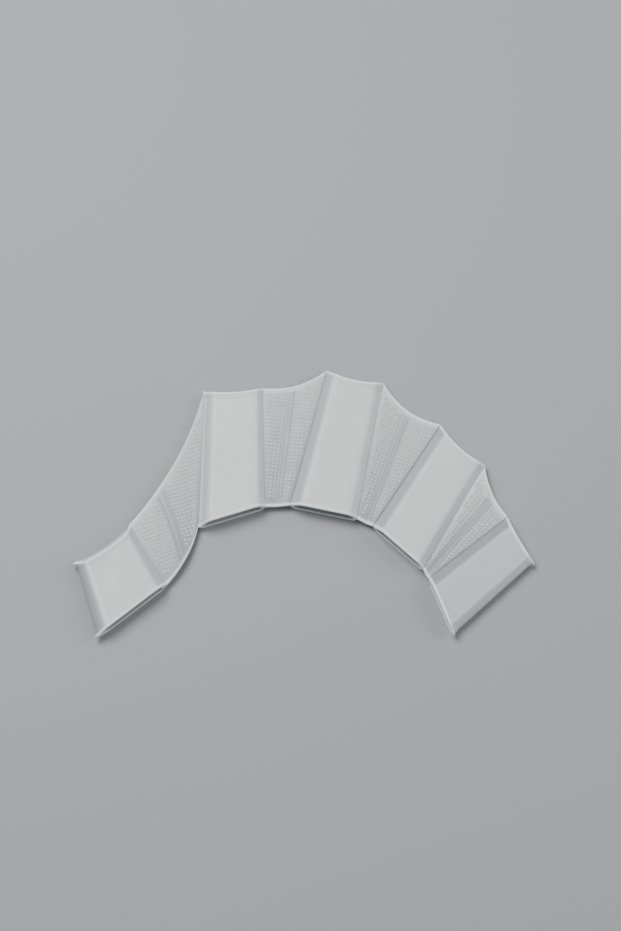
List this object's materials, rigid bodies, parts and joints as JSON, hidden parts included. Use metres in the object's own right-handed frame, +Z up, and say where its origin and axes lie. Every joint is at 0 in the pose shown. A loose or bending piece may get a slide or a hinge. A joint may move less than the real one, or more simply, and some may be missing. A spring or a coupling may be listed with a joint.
{
  "type": "webbed swim glove",
  "caption": "Soft webbed swim glove for one hand: open finger sleeves side by side along the knuckles, joined by thin ribbed webs with beaded edges.",
  "frame": {"origin": "on the surface the glove lies on, under the centre of its bounding box", "axes": "+X from the thumb sleeve to the little finger sleeve, the longest way; +Y from the palm edge towards the fingertips; +Z up from the surface, the shortest way"},
  "size_m": [0.203, 0.1232, 0.0095],
  "materials": {
    "sleeve_silicone": "milky translucent silicone, satin",
    "web_silicone": "thin milky translucent silicone with fine raised pips, satin"
  },
  "bodies": {
    "root": {"thumb_sleeve": "sleeve_silicone", "index_sleeve": "sleeve_silicone", "middle_sleeve": "sleeve_silicone", "ring_sleeve": "sleeve_silicone", "little_sleeve": "sleeve_silicone", "thumb_web": "web_silicone", "index_web": "web_silicone", "middle_web": "web_silicone", "ring_web": "web_silicone"}
  },
  "joints": []
}
